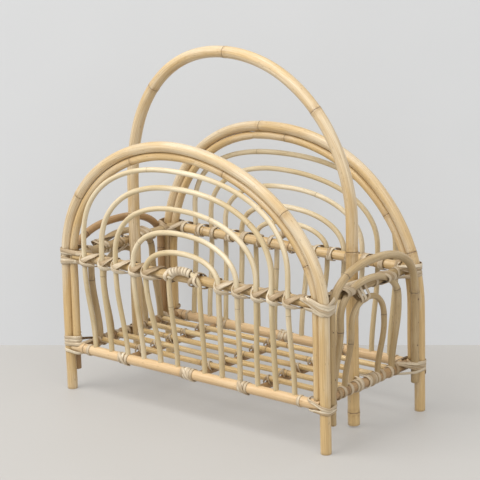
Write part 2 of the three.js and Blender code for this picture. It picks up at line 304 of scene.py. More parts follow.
# Fibre: long hair-fine streaks that run the length of a pole, broader patches of colour, and
# short brown flecks where bark was left in the grain.
fibre, fibre_in, fibre_out = new_group(
    "Rattan fibre",
    [("Streak Width", 0.0006), ("Streak Length", 0.05), ("Patch Length", 0.09), ("Fleck Share", 0.3)],
    ["Streaks", "Patches", "Flecks", "Height"])
run = add_node(fibre, "ShaderNodeAttribute", -1200, 300, attribute_name="grain_run")
streak_step = add_node(fibre, "ShaderNodeCombineXYZ", -800, 100)
fine = reckon(fibre, -1000, 160, "DIVIDE", 1.0, fibre_in.outputs["Streak Width"])
feed(fibre, fine, streak_step.inputs[0])
feed(fibre, fine, streak_step.inputs[1])
feed(fibre, reckon(fibre, -1000, 0, "DIVIDE", 1.0, fibre_in.outputs["Streak Length"]), streak_step.inputs[2])
streak_place = scaled_place(fibre, -600, 200, run.outputs["Vector"], streak_step.outputs[0])
streaks = cloudy(fibre, -400, 300, streak_place, 1.0, 3.0, 0.62)
patch_step = add_node(fibre, "ShaderNodeCombineXYZ", -800, -200)
wide = reckon(fibre, -1000, -160, "DIVIDE", 7.0, fibre_in.outputs["Patch Length"])
feed(fibre, wide, patch_step.inputs[0])
feed(fibre, wide, patch_step.inputs[1])
feed(fibre, reckon(fibre, -1000, -300, "DIVIDE", 1.0, fibre_in.outputs["Patch Length"]), patch_step.inputs[2])
patch_place = scaled_place(fibre, -600, -100, run.outputs["Vector"], patch_step.outputs[0])
patches = cloudy(fibre, -400, -50, patch_place, 1.0, 4.0, 0.55)
fleck_place = scaled_place(fibre, -600, -400, run.outputs["Vector"], (900.0, 900.0, 130.0))
flecks = add_node(fibre, "ShaderNodeTexVoronoi", -400, -400)
feed(fibre, fleck_place, flecks.inputs["Vector"])
flecks.inputs["Scale"].default_value = 1.0
near_fleck = ramp(fibre, -200, -400, flecks.outputs["Distance"], 0.28, 0.12)
fleck_pick = add_node(fibre, "ShaderNodeSeparateColor", -200, -600)
feed(fibre, flecks.outputs["Color"], fleck_pick.inputs[0])
chosen = reckon(fibre, 0, -600, "LESS_THAN", fleck_pick.outputs[0], fibre_in.outputs["Fleck Share"])
fleck_mask = reckon(fibre, 200, -450, "MULTIPLY", near_fleck, chosen)
streak_level = ramp(fibre, -150, 300, streaks, 0.32, 0.68)
patch_level = ramp(fibre, -150, -50, patches, 0.34, 0.66)
rough_height = reckon(fibre, 200, 100, "MULTIPLY_ADD", fleck_mask, -0.5, streak_level)
feed(fibre, streak_level, fibre_out.inputs["Streaks"])
feed(fibre, patch_level, fibre_out.inputs["Patches"])
feed(fibre, fleck_mask, fibre_out.inputs["Flecks"])
feed(fibre, rough_height, fibre_out.inputs["Height"])

# Leaf joint: a thin dark line right round the pole with a brown stain that fades along it.
joint_ring, ring_in, ring_out = new_group(
    "Leaf joint ring",
    [("Line Width", 0.0006), ("Stain Width", 0.007)],
    ["Line", "Stain", "Height"])
from_joint = add_node(joint_ring, "ShaderNodeAttribute", -1200, 300, attribute_name="from_joint")
ring_run = add_node(joint_ring, "ShaderNodeAttribute", -1200, -100, attribute_name="grain_run")
ring_wave = cloudy(joint_ring, -900, -100, ring_run.outputs["Vector"], 260.0)
wave = reckon(joint_ring, -700, -100, "SUBTRACT", ring_wave, 0.5)
bent = reckon(joint_ring, -500, 200, "MULTIPLY_ADD", wave, 0.0016, from_joint.outputs["Fac"])
distance = reckon(joint_ring, -300, 200, "ABSOLUTE", bent)
line_share = reckon(joint_ring, -100, 250, "DIVIDE", distance, ring_in.outputs["Line Width"])
stain_share = reckon(joint_ring, -100, 50, "DIVIDE", distance, ring_in.outputs["Stain Width"])
ring_line = ramp(joint_ring, 100, 250, line_share, 1.0, 0.2)
stain = ramp(joint_ring, 100, 50, stain_share, 1.0, 0.0)
gaps = ramp(joint_ring, 100, -200, ring_wave, 0.3, 0.65)
broken = reckon(joint_ring, 300, 50, "MULTIPLY", stain, gaps)
feed(joint_ring, ring_line, ring_out.inputs["Line"])
feed(joint_ring, broken, ring_out.inputs["Stain"])
feed(joint_ring, reckon(joint_ring, 300, 250, "MULTIPLY", ring_line, -1.0), ring_out.inputs["Height"])


def rattan_finish(name, pale, honey, brown, streak, patch, fleck_share, line_strength,
                  rough_low, rough_high, coat, bump, streak_width=0.0006):
    """A scraped and rubbed rattan surface: pale wood, honey patches, brown stains and rings."""
    finish, tree, surface = new_finish(name)
    grain = add_node(tree, "ShaderNodeGroup", -1300, 200, node_tree=fibre)
    grain.inputs["Streak Width"].default_value = streak_width
    grain.inputs["Streak Length"].default_value = 0.045
    grain.inputs["Patch Length"].default_value = 0.085
    grain.inputs["Fleck Share"].default_value = fleck_share
    joint = add_node(tree, "ShaderNodeGroup", -1300, -200, node_tree=joint_ring)
    joint.inputs["Line Width"].default_value = 0.00075
    joint.inputs["Stain Width"].default_value = 0.009
    own_tone = add_node(tree, "ShaderNodeAttribute", -1300, 500, attribute_name="tone")
    patched = reckon(tree, -1050, 350, "MULTIPLY", grain.outputs["Patches"], patch)
    depth = reckon(tree, -900, 400, "ADD", patched, own_tone.outputs["Fac"], clamp=True)
    shade = tint(tree, -700, 400, depth, pale, honey)
    for x, output, strength, darkness in (
            (-500, grain.outputs["Streaks"], streak, 1.0),
            (-300, joint.outputs["Stain"], 0.45 * line_strength, 1.0),
            (-100, grain.outputs["Flecks"], 0.6, 0.45),
            (100, joint.outputs["Line"], 0.75 * line_strength, 0.35)):
        amount = reckon(tree, x - 200, 150, "MULTIPLY", output, strength)
        shade = tint(tree, x, 400, amount, shade, tuple(darkness * c for c in brown))
    feed(tree, shade, surface.inputs["Base Color"])
    feed(tree, ramp(tree, -500, -100, grain.outputs["Streaks"], 0.0, 1.0, rough_low, rough_high),
         surface.inputs["Roughness"])
    shine = ramp(tree, -500, -300, grain.outputs["Patches"], 0.0, 1.0, coat, 0.3 * coat)
    feed(tree, shine, surface.inputs["Coat Weight"])
    surface.inputs["Coat Roughness"].default_value = 0.24
    surface.inputs["IOR"].default_value = 1.45
    height = reckon(tree, -700, -500, "MULTIPLY_ADD", joint.outputs["Height"], 1.5, grain.outputs["Height"])
    relief = add_node(tree, "ShaderNodeBump", -300, -500)
    relief.inputs["Strength"].default_value = bump
    relief.inputs["Distance"].default_value = 0.00025
    feed(tree, height, relief.inputs["Height"])
    feed(tree, relief.outputs["Normal"], surface.inputs["Normal"])
    return finish


scraped_pole = rattan_finish(
    "scraped_pole", pale=(0.735, 0.625, 0.445), honey=(0.645, 0.46, 0.22), brown=(0.30, 0.165, 0.055),
    streak=0.46, patch=0.8, fleck_share=0.10, line_strength=1.0,
    rough_low=0.30, rough_high=0.50, coat=0.55, bump=0.5)

# Sawn end: the open pores of the cane, brown in a paler ground.
sawn_end, sawn_tree, sawn_surface = new_finish("sawn_end")
sawn_run = add_node(sawn_tree, "ShaderNodeAttribute", -900, 0, attribute_name="grain_run")
pores = add_node(sawn_tree, "ShaderNodeTexVoronoi", -700, 0)
feed(sawn_tree, sawn_run.outputs["Vector"], pores.inputs["Vector"])
pores.inputs["Scale"].default_value = 1500.0
pore_mask = ramp(sawn_tree, -500, 0, pores.outputs["Distance"], 0.42, 0.18)
feed(sawn_tree, tint(sawn_tree, -250, 100, pore_mask, (0.52, 0.37, 0.2), (0.2, 0.12, 0.06)),
     sawn_surface.inputs["Base Color"])
feed(sawn_tree, ramp(sawn_tree, -250, -100, pore_mask, 0.0, 1.0, 0.7, 0.95), sawn_surface.inputs["Roughness"])



def lay_pole(name, skin, slot, node, points, radius, side, **grain):
    """A piece that is one single pole."""
    stock = add_pole(fresh_stock(), points, radius, side, **grain)
    make_piece(name, stock, (skin, sawn_end), slot, node)


for side_name, sign in (("front", -1), ("back", 1)):
    shape = hoop_shapes[side_name]
    line = arch_line(leg_x, shape["spring"], shape["top"], 0.45 * mm, shape["fullness"], arch_drift)
    lay_pole(side_name + "_outer_hoop_pole", scraped_pole, "rattan_pole", side_name + "_outer_hoop",
             [Vector((x, sign * panel_y, z)) for x, z in line], hoop_radius, Vector((0, 1, 0)),
             seed=11 + sign, rings=shape["rings"], sides=24, tone=0.06 + 0.05 * sign, wander=1.0 * mm)


# ---- Inner hoops -----------------------------------------------------------------------
# A thinner pole follows the inside of each outer hoop and stands on the bottom rail.  It is
# two lengths, cut to long tongues that lie on each other near the top.
inner_radius = 4.7 * mm
bottom_radius = 5.9 * mm
bottom_z = middle_of("front_bottom_rail", 2)
inner_splice = {"front": 0.47, "back": 0.56}
splice_lap = 18 * mm


def follow_inside(line, inset, foot):
    """A line kept a set distance inside an arch, standing at the given height."""
    out = []
    for i in range(len(line)):
        a = line[max(i - 1, 0)]
        b = line[min(i + 1, len(line) - 1)]
        dx = b[0] - a[0]
        dz = b[1] - a[1]
        size = math.hypot(dx, dz)
        out.append((line[i][0] - dz / size * inset, line[i][1] + dx / size * inset))
    return [p for p in out if p[1] > foot]


for side_name, sign in (("front", -1), ("back", 1)):
    shape = hoop_shapes[side_name]
    outer = arch_line(leg_x, shape["spring"], shape["top"], 0.0, shape["fullness"], arch_drift)
    line = follow_inside(outer, hoop_radius + inner_radius - 0.1 * mm, bottom_z + bottom_radius - 0.6 * mm)
    points = [Vector((x, sign * (panel_y - 0.6 * mm), z)) for x, z in line]
    whole = length_of(points)
    splice = inner_splice[side_name] * whole
    first_run = pace_out(points, [splice * i / 200 + 20 * mm * i / 200 for i in range(201)])
    rest = whole - splice + splice_lap
    second_run = pace_out(points, [splice - splice_lap + rest * i / 200 for i in range(201)])
    stock = fresh_stock()
    # Both lengths get a deeper tone than the outer hoops, painted shade for where they lie inside them.
    add_pole(stock, first_run, inner_radius, Vector((0, 1, 0)), seed=21 + sign, rings=(0.42, 0.83),
             tone=0.3, wander=0.5 * mm, tip=(1.0, 0.35))
    add_pole(stock, second_run, inner_radius, Vector((0, 1, 0)), seed=24 + sign, rings=(0.30, 0.71),
             tone=0.4, wander=0.5 * mm, tip=(0.35, 1.0))
    make_piece(side_name + "_inner_hoop_pole", stock, (scraped_pole, sawn_end), "rattan_pole",
               side_name + "_inner_hoop")


# ---- Rails of the side panels ----------------------------------------------------------
# Two straight poles cross each panel between the hoop legs: the mid rail, which carries the
# lacing, and the bottom rail, drilled along its top for the rod feet.  Both butt the legs.
mid_radius = 5.8 * mm
mid_z = middle_of("front_mid_rail", 2)
bottom_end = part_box("front_bottom_rail")[1].x


def leg_at(side_name, z):
    """How far the outer hoop leg stands from the middle at a height."""
    shape = hoop_shapes[side_name]
    rise = max((z - shape["spring"]) / (shape["top"] - shape["spring"]), 0.0)
    return leg_x * (1 - rise ** shape["fullness"]) ** (1 / shape["fullness"])


pink_pole = rattan_finish(
    "pink_heart_pole", pale=(0.78, 0.635, 0.42), honey=(0.64, 0.455, 0.25), brown=(0.36, 0.20, 0.08),
    streak=0.3, patch=0.9, fleck_share=0.14, line_strength=1.0,
    rough_low=0.36, rough_high=0.55, coat=0.2, bump=0.4)
brown_pole = rattan_finish(
    "browned_pole", pale=(0.56, 0.38, 0.2), honey=(0.38, 0.235, 0.11), brown=(0.19, 0.105, 0.045),
    streak=0.36, patch=0.8, fleck_share=0.2, line_strength=1.0,
    rough_low=0.38, rough_high=0.58, coat=0.15, bump=0.45)

for side_name, sign in (("front", -1), ("back", 1)):
    mid_end = leg_at(side_name, mid_z) - hoop_radius - 2 * inner_radius + 0.8 * mm
    line = [Vector((x, sign * panel_y, mid_z)) for x in (-mid_end, mid_end)]
    lay_pole(side_name + "_mid_rail_pole", scraped_pole, "rattan_pole", side_name + "_mid_rail", line,
             mid_radius, Vector((0, 1, 0)), seed=31 + sign, rings=(0.13, 0.52, 0.88), wander=0.8 * mm)
    line = [Vector((x, sign * panel_y, bottom_z)) for x in (-bottom_end, bottom_end)]
    lay_pole(side_name + "_bottom_rail_pole", pink_pole, "rattan_pole", side_name + "_bottom_rail", line,
             bottom_radius, Vector((0, 1, 0)), seed=35 + sign, rings=(0.05, 0.47, 0.93),
             wander=0.5 * mm, tone=0.3)


# ---- Rod arches ------------------------------------------------------------------------
# Six peeled rods of about 6 mm nest inside each hoop.  They are the soft core of the cane,
# pale and dry, glued into holes in the bottom rail and drawn outside the mid rail, where the
# lacing holds them.
rod_radius = 3.0 * mm
rod_feet = (148.3, 122.6, 97.0, 71.8, 46.0, 20.3)
rod_out = 9.6 * mm
rod_arches = {
    "front": ((-151.9, 148.7, 190, 286.6), (-122.8, 126.9, 184, 266.6), (-101.6, 104.9, 178, 243.5),
              (-74.6, 78.3, 170, 216.5), (-55.4, 52.7, 165, 194.5), (-20.7, 23.7, 158, 175.4)),
    "back": ((-150.0, 150.0, 186, 274.5), (-124.0, 125.0, 181, 254.0), (-102.0, 103.0, 176, 233.5),
             (-76.0, 77.0, 168, 210.0), (-54.0, 53.5, 164, 191.0), (-22.0, 23.0, 160, 178.0)),
}
rod_rings = ((0.14, 0.57), (0.33, 0.84), (0.42, 0.79), (0.21, 0.66), (0.30,), (0.72,))

peeled_rod = rattan_finish(
    "peeled_rod", pale=(0.83, 0.735, 0.55), honey=(0.58, 0.465, 0.27), brown=(0.42, 0.3, 0.16),
    streak=0.38, patch=0.8, fleck_share=0.12, line_strength=0.55,
    rough_low=0.42, rough_high=0.66, coat=0.2, bump=0.5, streak_width=0.00045)

for side_name, sign in (("front", -1), ("back", 1)):
    for k, (left, right, spring, top) in enumerate(rod_arches[side_name]):
        foot = bottom_z + bottom_radius - 3.0 * mm
        line = arch_line(0, spring * mm, top * mm, foot, 2.25 if k < 5 else 2.1, -4.0 * mm * (k < 4),
                         right * mm, -left * mm)
        points = []
        for x, z in line:
            climb = clamped((z - bottom_z - 6 * mm) / (mid_z - 14 * mm - bottom_z))
            ease = climb * climb * (3 - 2 * climb)
            home = math.copysign(rod_feet[k] * mm, x)
            if z < spring * mm:
                x = home + (x - home) * ease
            fold = clamped((z - mid_z - 10 * mm) / (110 * mm))
            points.append(Vector((x, sign * (panel_y + rod_out * ease - 3.0 * mm * fold), z)))
        lay_pole(f"{side_name}_rod_{k + 1}", peeled_rod, "peeled_rod", f"{side_name}_rod_arch_{k + 1}",
                 points, rod_radius * (1 + 0.04 * math.sin(k * 2.3 + sign)), Vector((0, 1, 0)),
                 seed=41 + k * 3 + sign, rings=rod_rings[k], sides=14, wander=1.1 * mm, pace=3.0 * mm,
                 tone=0.2 + 0.12 * math.sin(k * 1.9 + sign))


# ---- End frames ------------------------------------------------------------------------
# Each end is closed by a mid rail and a bottom rail between the hoop legs and by three bent
# arches of thinner cane, greyed or browned.  The outer one is nailed and lashed to the legs and
# stops short of the floor; the two inner ones stand in the bottom rail and lean outward.
end_radius = 5.6 * mm
end_x = middle_of("right_end_mid_rail", 0)
end_mid_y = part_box("right_end_mid_rail")[1].y
end_bottom_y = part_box("right_end_bottom_rail")[1].y
outer_arch_radius = 4.5 * mm
outer_arch_y = panel_y - hoop_radius - outer_arch_radius - 0.1 * mm
end_shapes = {
    "right": {"top": 197.8, "lean": 3.0, "stub": (33.9, 26.5)},
    "left": {"top": 190.0, "lean": -2.0, "stub": (30.0, 21.0)},
}

greyed_cane = rattan_finish(
    "greyed_cane_pole", pale=(0.63, 0.50, 0.31), honey=(0.43, 0.31, 0.155), brown=(0.24, 0.155, 0.08),
    streak=0.42, patch=0.8, fleck_share=0.24, line_strength=0.9,
    rough_low=0.38, rough_high=0.58, coat=0.25, bump=0.5)

for end_name, sign in (("right", 1), ("left", -1)):
    shape = end_shapes[end_name]
    line = arch_line(outer_arch_y, 148 * mm, shape["top"] * mm, 0.0, 2.35, shape["lean"] * mm)
    points = [Vector((sign * (leg_x + 0.6 * mm), y, z)) for y, z in line]
    half_way = len(points) // 2
    points = [p for i, p in enumerate(points)
              if p.z > (shape["stub"][0] if i < half_way else shape["stub"][1]) * mm]
    lay_pole(end_name + "_end_outer_arch", greyed_cane if sign > 0 else brown_pole, "end_pole",
             end_name + "_end_arch_outer", points, outer_arch_radius, Vector((1, 0, 0)),
             seed=71 + sign, rings=(0.24, 0.61), wander=0.9 * mm, tone=0.25 if sign > 0 else 0.6)
    for label, front_foot, back_foot, spring, top, radius in (
            ("middle", 52.5, 54.0, 140, 174.2, 3.9 * mm), ("inner", 32.5, 27.5, 126, 154.0, 3.3 * mm)):
        line = arch_line(0, spring * mm, top * mm, bottom_z + 2.6 * mm, 2.15, 0.0,
                         back_foot * mm, front_foot * mm)
        points = []
        for y, z in line:
            climb = clamped((z - bottom_z - 6 * mm) / (spring * mm - bottom_z - 12 * mm))
            ease = climb * climb * (3 - 2 * climb)
            points.append(Vector((sign * (end_x + (end_radius + radius + 0.6 * mm) * ease), y, z)))
        lay_pole(f"{end_name}_end_{label}_arch", greyed_cane, "end_pole", f"{end_name}_end_arch_{label}",
                 points, radius, Vector((1, 0, 0)), seed=75 + sign + len(label), rings=(0.31, 0.77),
                 sides=16, wander=1.0 * mm, tone=0.1, pace=2.6 * mm)
    line = [Vector((sign * end_x, y, mid_z)) for y in (-end_mid_y, end_mid_y)]
    lay_pole(end_name + "_end_mid_rail_pole", greyed_cane, "rattan_pole", end_name + "_end_mid_rail", line,
             end_radius, Vector((1, 0, 0)), seed=81 + sign, rings=(0.36,), wander=0.6 * mm)
    line = [Vector((sign * end_x, y, bottom_z)) for y in (-end_bottom_y, end_bottom_y)]
    lay_pole(end_name + "_end_bottom_rail_pole", brown_pole, "rattan_pole", end_name + "_end_bottom_rail",
             line, end_radius, Vector((1, 0, 0)), seed=85 + sign, rings=(0.3, 0.82), wander=0.5 * mm,
             tone=0.2)


# ---- Handle ----------------------------------------------------------------------------
# One long pole, the thickest in the rack, bent to a tall arch inside the end rails and tied to
# them.  Its right leg ends just clear of the floor, its left leg is cut off just under the rail.
handle_radius = 6.8 * mm
handle_low, handle_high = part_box("handle_hoop")
handle_x = handle_high.x - (handle_high.y - handle_low.y) / 2
handle_foot = handle_low.z
handle_joints = (0.015, 0.2006, 0.3643, 0.5074, 0.634, 0.80)
line = arch_line(handle_x, 229.5 * mm, 406.0 * mm, handle_foot + 0.45 * mm, 2.09, arch_drift)
handle_stub = 38.4 * mm
whole_length = length_of([Vector((x, 0, z)) for x, z in line])
line = [p for p in line if p[0] > 0 or p[1] > handle_stub] + [(line[-1][0], handle_stub)]
handle_share = whole_length / length_of([Vector((x, 0, z)) for x, z in line])
lay_pole("handle_pole", scraped_pole, "rattan_pole", "handle_hoop", [Vector((x, 0, z)) for x, z in line],
         handle_radius, Vector((0, 1, 0)), seed=5, sides=24, wander=1.1 * mm, tone=0.18,
         rings=[share * handle_share for share in handle_joints])


# ---- Floor of the rack -----------------------------------------------------------------
# Three short bars cross between the bottom rails and carry five long thin slats of cane,
# which run from end rail to end rail and are tied down where they cross the bars.
slat_radius = 3.3 * mm
bar_radius = 4.0 * mm
slat_cane = rattan_finish(
    "slat_cane", pale=(0.95, 0.82, 0.52), honey=(0.72, 0.52, 0.235), brown=(0.33, 0.19, 0.08),
    streak=0.55, patch=0.9, fleck_share=0.25, line_strength=1.0,
    rough_low=0.28, rough_high=0.46, coat=0.6, bump=0.5)
for k in range(1, 6):
    low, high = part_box(f"floor_slat_{k}")
    middle = (low + high) / 2
    line = [Vector((x, middle.y, middle.z)) for x in (low.x, high.x)]
    lay_pole(f"floor_slat_{k}_cane", slat_cane, "peeled_rod", f"floor_slat_{k}", line, slat_radius,
             Vector((0, 1, 0)), seed=91 + k, sides=14, wander=1.0 * mm, tone=0.25 + 0.1 * (k % 2),
             rings=(0.11 + 0.05 * (k % 3), 0.43 + 0.03 * k, 0.81 - 0.02 * k))
for k in range(1, 4):
    low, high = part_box(f"floor_bar_{k}")
    middle = (low + high) / 2
    line = [Vector((middle.x, y, middle.z)) for y in (low.y, high.y)]
    lay_pole(f"floor_bar_{k}_pole", brown_pole, "rattan_pole", f"floor_bar_{k}", line, bar_radius,
             Vector((1, 0, 0)), seed=97 + k, sides=16, wander=0.6 * mm, rings=(0.5,), tone=0.4)


# ---- Lacing of the side panels ---------------------------------------------------------
# Flat strips of split cane, 4 to 5 mm wide, bind every rod to the mid rail.  The strip comes
# over the rail, crosses the rod, turns round it and goes back under the rail, so each knot
# shows as a pointed loop.  It was wound wet and has shrunk tight.
strip_wide = 5.6 * mm
strip_thick = 1.15 * mm

cane_strip = rattan_finish(
    "split_cane_strip", pale=(0.84, 0.74, 0.56), honey=(0.42, 0.305, 0.175), brown=(0.22, 0.135, 0.065),
    streak=0.42, patch=0.75, fleck_share=0.12, line_strength=0.0,
    rough_low=0.34, rough_high=0.60, coat=0.3, bump=0.8, streak_width=0.0005)


def add_strip(stock, points, outward, wide, thick, seed, tone=0.35):
    """Lays a flat crowned strip along a line, its smooth face turned outward, its sides and underside painted
    deeper as shade.
    """
    whole = length_of(points)
    count = max(int(whole / (1.3 * mm)), 6)
    stops = [whole * i / count for i in range(count + 1)]
    centre = pace_out(points, stops)
    marks = [0.0]
    for a, b in zip(points, points[1:]):
        marks.append(marks[-1] + (b - a).length)
    ups = []
    k = 0
    for s in stops:
        while k < len(points) - 2 and marks[k + 1] < s:
            k += 1
        share = (s - marks[k]) / max(marks[k + 1] - marks[k], 1e-9)
        ups.append(outward[k].lerp(outward[k + 1], clamped(share)))
    away = Vector((seed * 2.13, seed * 0.71, seed * 1.93))
    section = ((-0.5, 0.12), (-0.40, 0.62), (-0.2, 0.93), (0.0, 1.0), (0.2, 0.93), (0.40, 0.62),
               (0.5, 0.12), (0.42, -0.05), (0.0, 0.0), (-0.42, -0.05))
    n = len(section)
    first = len(stock["points"])
    for i, s in enumerate(stops):
        ahead = centre[min(i + 1, count)] - centre[max(i - 1, 0)]
        along = ahead.normalized()
        across = along.cross(ups[i]).normalized()
        up = across.cross(along).normalized()
        end = min(s, whole - s) / (4 * mm)
        width = wide * (1 + 0.10 * noise.noise(away + Vector((s * 60, 0, 0))))
        if end < 1:
            width *= 0.55 + 0.45 * end
        turn = 0.10 * noise.noise(away + Vector((0, s * 40, 3.0)))
        for q, p in section:
            stock["points"].append(centre[i] + across * q * width + up * (p * thick + turn * q * width))
            stock["grain"].append(Vector((q * wide, p * thick, s)) + away)
            stock["ring"].append(1.0)
            # The sides and underside of the strip get a deeper tone: painted shade along its edges.
            stock["tone"].append(tone + 0.12 * noise.noise(away * 1.7) + (0.7 if p < 0.2 else 0.0))
    close_round(stock, first, count + 1, n, -1)
    stock["faces"].append(tuple(range(first, first + n)))
    stock["faces"].append(tuple(range(first + count * n + n - 1, first + count * n - 1, -1)))
    stock["skins"] += [0, 0]


def ease_through(keys, per_span=10):
    """A smooth line through a few set points."""
    out = []
    for i in range(len(keys) - 1):
        p0 = keys[max(i - 1, 0)]
        p1 = keys[i]
        p2 = keys[i + 1]
        p3 = keys[min(i + 2, len(keys) - 1)]
        for k in range(per_span):
            t = k / per_span
            out.append(0.5 * (2 * p1 + (p2 - p0) * t + (2 * p0 - 5 * p1 + 4 * p2 - p3) * t * t
                              + (3 * p1 - 3 * p2 + p3 - p0) * t * t * t))
    out.append(keys[-1].copy())
    return out


def tie_rod(stock, place, reach, seed, wide, tone):
    """One knot of the lacing: a strip from the rod's upper left to under the rail, over a strip
    that comes from the top of the rail down to the rod."""
    over = ((-7.4, 2.0, -7.1, 0.0, 0.3, -1.0), (-8.0, -4.6, -5.2, 0.0, -0.7, -0.7),
            (-8.5, -6.8, 0.0, 0.0, -1.0, 0.0), (-8.6, -4.4, 5.2, 0.0, -0.7, 0.7),
            (-7.6, 1.0, 7.1, 0.0, 0.1, 1.0), (-6.0, 6.6, 5.4, 0.35, 0.7, 0.6),
            (-4.5, 11.6, 1.6, 0.6, 0.8, 0.1), (-1.4, 14.3, -1.9, 0.15, 1.0, 0.0),
            (2.4, 13.2, -4.0, -0.15, 1.0, -0.1), (5.6, 10.4, -5.0, -0.25, 0.95, -0.15),
            (8.6, 7.4, -5.7, -0.2, 0.9, -0.3), (11.0, 3.0, -6.6, 0.0, 0.4, -0.9),
            (12.4, -1.8, -6.6, 0.0, -0.2, -1.0), (13.2, -5.6, -4.0, 0.0, -0.8, -0.6),
            (13.4, -6.7, 0.0, 0.0, -1.0, 0.0))
    under = ((14.6, -4.4, -5.2, 0.0, -0.7, -0.7), (15.0, -6.8, 0.0, 0.0, -1.0, 0.0),
             (14.9, -4.4, 5.2, 0.0, -0.7, 0.7), (13.4, 0.8, 7.0, 0.0, 0.1, 1.0),
             (10.4, 5.6, 5.6, 0.0, 0.65, 0.75), (6.6, 9.4, 3.6, -0.1, 0.8, 0.6),
             (3.0, 12.2, 1.5, -0.2, 0.95, 0.3), (0.0, 13.2, -0.3, 0.0, 1.0, 0.0),
             (-2.9, 12.0, -2.0, 0.5, 0.85, 0.0), (-4.4, 9.0, -3.0, 0.9, 0.3, 0.0))
    home = place(0.0, 0.0, 0.0)
    for n, keys in enumerate((over, under)):
        spots = []
        for dx, out, up, *_ in keys:
            if dx > 4:
                dx = 4 + (dx - 4) * (reach - 4) / 12
            spots.append(place(dx + chance.uniform(-0.3, 0.3), out, up + chance.uniform(-0.25, 0.25)))
        outward = [(place(-k[3], k[4], k[5]) - home).normalized() for k in keys]
        add_strip(stock, ease_through(spots, 8), ease_through(outward, 8),
                  wide * (0.92 if n == 0 else 1.2), strip_thick, seed + 50 * n, tone=tone - 0.25 + 0.50 * n)


chance = random.Random(7)
for side_name, sign in (("front", -1), ("back", 1)):
    stock = fresh_stock()
    crossings = sorted(x for arch in rod_arches[side_name][:5] for x in arch[:2])
    ahead = crossings[1:] + [crossings[-1] + 24.0]
    for n, (x, following) in enumerate(zip(crossings, ahead)):
        def at_rod(dx, out, up, x=x, sign=sign):
            return Vector(((x + dx) * mm, sign * (panel_y + out * mm), mid_z + up * mm))

        tie_rod(stock, at_rod, min(max(following - x - 8.8, 9.5), 17.5), 100 + n + sign,
                strip_wide, chance.uniform(0.05, 0.35))
    # The smallest arch lies against the rail: its top is wound closely, with a band round the
    # rail at its left leg and two crossed strips at its right shoulder.
    left_x, right_x, spring_z, top_z = rod_arches[side_name][5]
    crown = []
    for i in range(281):
        share = i / 280
        x = -18.5 + 32.0 * share
        middle = (left_x + right_x) / 2
        rise = max(1 - (abs(x - middle) / ((right_x - left_x) / 2)) ** 2.3, 0.0) ** (1 / 2.3)
        z = spring_z + (top_z - spring_z) * rise
        crown.append(Vector((x * mm, sign * (panel_y + rod_out), z * mm)))
    winding = []
    facing = []
    for i, spot in enumerate(crown):
        along = (crown[min(i + 1, 280)] - crown[max(i - 1, 0)]).normalized()
        lap = 2 * math.pi * i / 280 * 7.6
        first = Vector((0, sign, 0))
        second = along.cross(first).normalized()
        facing.append(first * math.cos(lap) + second * math.sin(lap))
        winding.append(spot + facing[-1] * 3.9 * mm)
    add_strip(stock, winding, facing, 4.4 * mm, strip_thick, 170 + sign, tone=0.1)
    for n, (x, shift, wide) in enumerate(((-22.5, 0.6, 5.4), (15.0, 7.5, 4.8), (20.0, -6.5, 4.6))):
        high = 8.2 if n == 0 else 9.4
        out = 13.6 if n == 0 else 13.9
        keys = ((x + shift, -6.7, 0.0, -1.0, 0.0), (x + 0.7 * shift, -3.4, 6.6, -0.4, 1.0),
                (x + 0.3 * shift, 5.0, high, 0.4, 1.0), (x, out, 3.2, 1.0, 0.1),
                (x - 0.4 * shift, out - 1.6, -2.4, 1.0, -0.2), (x - 0.7 * shift, 6.4, -5.8, 0.7, -0.7),
                (x - 0.9 * shift, -1.0, -6.9, -0.1, -1.0), (x - shift, -6.4, -3.0, -1.0, -0.3))
        spots = [Vector((k[0] * mm, sign * (panel_y + k[1] * mm), mid_z + k[2] * mm)) for k in keys]
        points = ease_through(spots, 8)
        outward = ease_through([Vector((0, sign * k[3], k[4])).normalized() for k in keys], 8)
        add_strip(stock, points, outward, wide * mm, strip_thick, 150 + n + sign, tone=0.15)
    make_piece(side_name + "_lacing_strips", stock, (cane_strip,), "cane", side_name + "_lacing")


# ---- Corner lashings -------------------------------------------------------------------
# Where four poles meet at a corner a bundle of cane strips is wound round all of them: over
# the side rail, slanting across the hoop legs, under the end rail and back, and the same the
# other way, with the last end tucked under.
def tight_line(poles, lift):
    """The line of a strip pulled tight round a bundle of poles, with its outward directions."""
    line = []
    for i in range(720):
        a = math.pi * 2 * i / 720
        n = Vector((math.cos(a), math.sin(a)))
        centre, r = max(poles, key=lambda pole: pole[0].dot(n) + pole[1])
        line.append((centre + n * (r + lift), n, math.degrees(a)))
    return line


